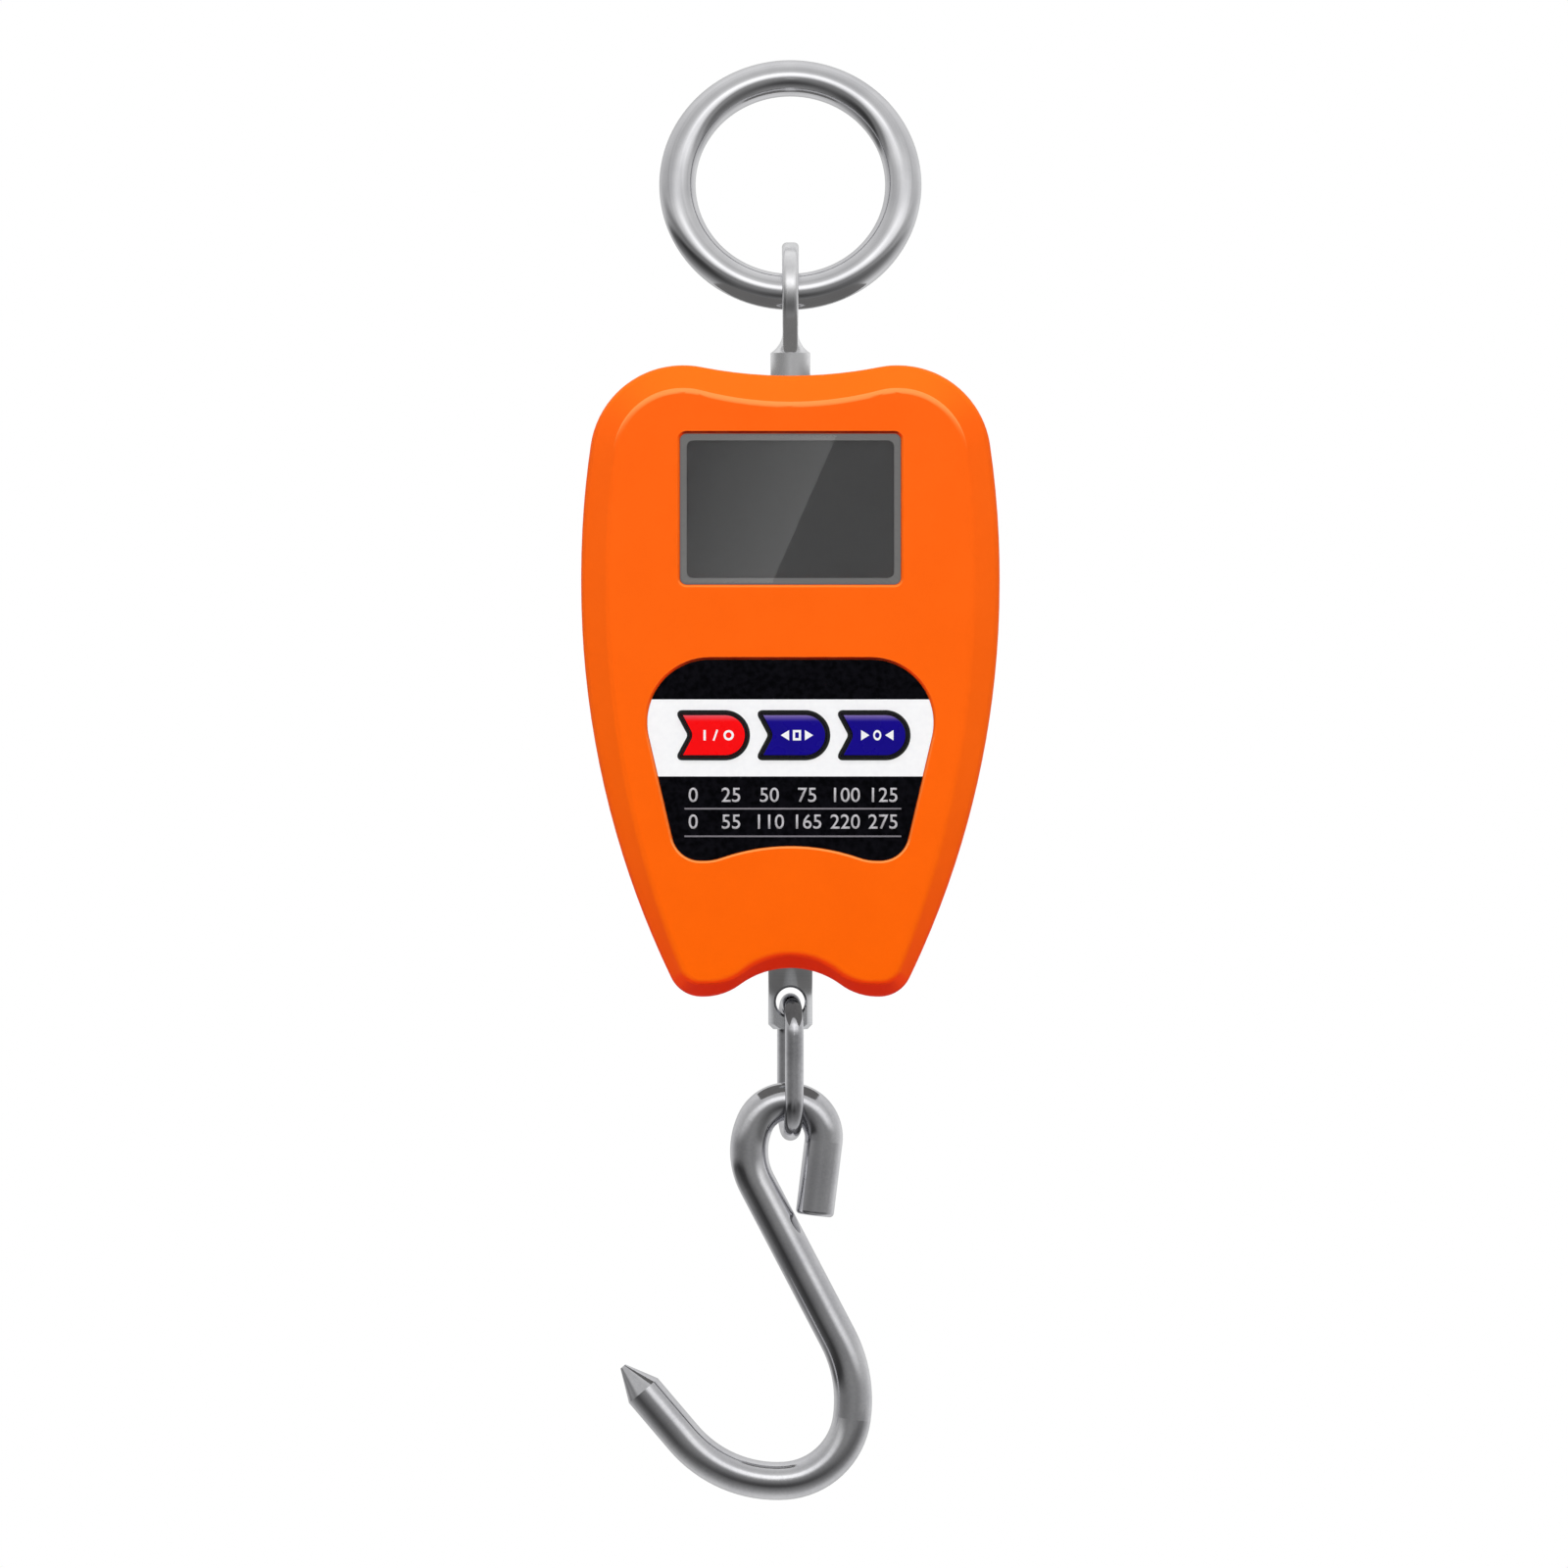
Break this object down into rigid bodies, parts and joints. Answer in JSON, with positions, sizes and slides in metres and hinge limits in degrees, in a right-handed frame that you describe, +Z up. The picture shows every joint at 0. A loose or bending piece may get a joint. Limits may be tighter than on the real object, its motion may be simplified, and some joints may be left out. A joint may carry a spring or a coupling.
{
  "type": "digital hanging scale",
  "caption": "Handheld digital hanging scale: steel ring on an eye bolt, tapered orange housing with display window and keypad, and a link with an open S-hook.",
  "frame": {"origin": "inside of the ring crown, where the ring hangs on a hook or a hand", "axes": "+Z up along the scale as it hangs, -Y out of the display side, +X to the right seen from the display side"},
  "size_m": [0.0768, 0.0369, 0.2651],
  "materials": {
    "ring_steel": "polished",
    "eye_steel": "satin",
    "plated_steel": "zinc plated",
    "cell_alloy": "milled",
    "gauge_film": "polyimide film",
    "post_steel": "turned",
    "link_steel": "satin",
    "hook_steel": "polished",
    "orange_shell": "fine texture",
    "window_lens": "smoked",
    "lcd_glass": "clear",
    "dark_plastic": "moulded",
    "zebra_rubber": "layered",
    "overlay_film": "printed film",
    "red_key": "gloss",
    "blue_key": "gloss",
    "switch_plastic": "moulded",
    "board_laminate": "solder mask",
    "chip_plastic": "moulded",
    "cell_can": "printed wrap",
    "contact_steel": "nickel plated",
    "red_sleeve": "smooth",
    "black_sleeve": "smooth",
    "grey_sleeve": "smooth"
  },
  "bodies": {
    "ring": {"hanging_ring": "ring_steel"},
    "scale": {"upper_eye_bolt": "eye_steel", "eye_lock_nut": "plated_steel", "load_cell": "cell_alloy", "strain_gauges": "gauge_film", "load_cell_screws": "plated_steel", "lower_post": "post_steel", "post_lock_nut": "plated_steel", "front_cover": "orange_shell", "rear_cover": "orange_shell", "display_window": "window_lens", "lcd_glass": "lcd_glass", "lcd_frame": "dark_plastic", "zebra_strips": "zebra_rubber", "keypad_overlay": "overlay_film", "key_switches": "switch_plastic", "circuit_board": "board_laminate", "board_screws": "plated_steel", "board_components": "chip_plastic", "battery_cells": "cell_can", "battery_contacts": "contact_steel", "battery_springs": "contact_steel", "battery_lead_positive": "red_sleeve", "battery_lead_negative": "black_sleeve", "load_cell_cable": "grey_sleeve", "housing_screws": "plated_steel"},
    "link": {"oval_link": "link_steel"},
    "hook": {"s_hook": "hook_steel"},
    "door": {"battery_door": "orange_shell"},
    "power_button": {"power_key": "red_key", "power_plunger": "switch_plastic"},
    "mode_button": {"mode_key": "blue_key", "mode_plunger": "switch_plastic"},
    "tare_button": {"tare_key": "blue_key", "tare_plunger": "switch_plastic"}
  },
  "joints": [
    {"name": "ring_swing", "type": "hinge", "parent": "ring", "child": "scale", "pos_m": [0, -0.0115, -0.03648], "axis": [1, 0, 0], "range_deg": [-127.5, 92.5]},
    {"name": "link_swing", "type": "hinge", "parent": "scale", "child": "link", "pos_m": [0, -0.0115, -0.16709], "axis": [0, 1, 0], "range_deg": [-45, 45]},
    {"name": "hook_swing", "type": "hinge", "parent": "link", "child": "hook", "pos_m": [0, -0.0115, -0.18529], "axis": [1, 0, 0], "range_deg": [-110, 110]},
    {"name": "door_lift", "type": "slide", "parent": "scale", "child": "door", "axis": [0, 1, 0], "range_m": [0, 0.02]},
    {"name": "power_press", "type": "slide", "parent": "scale", "child": "power_button", "axis": [0, 1, 0], "range_m": [0, 0.0005], "stiffness_N_per_m": 300},
    {"name": "mode_press", "type": "slide", "parent": "scale", "child": "mode_button", "axis": [0, 1, 0], "range_m": [0, 0.0005], "stiffness_N_per_m": 300},
    {"name": "tare_press", "type": "slide", "parent": "scale", "child": "tare_button", "axis": [0, 1, 0], "range_m": [0, 0.0005], "stiffness_N_per_m": 300}
  ]
}
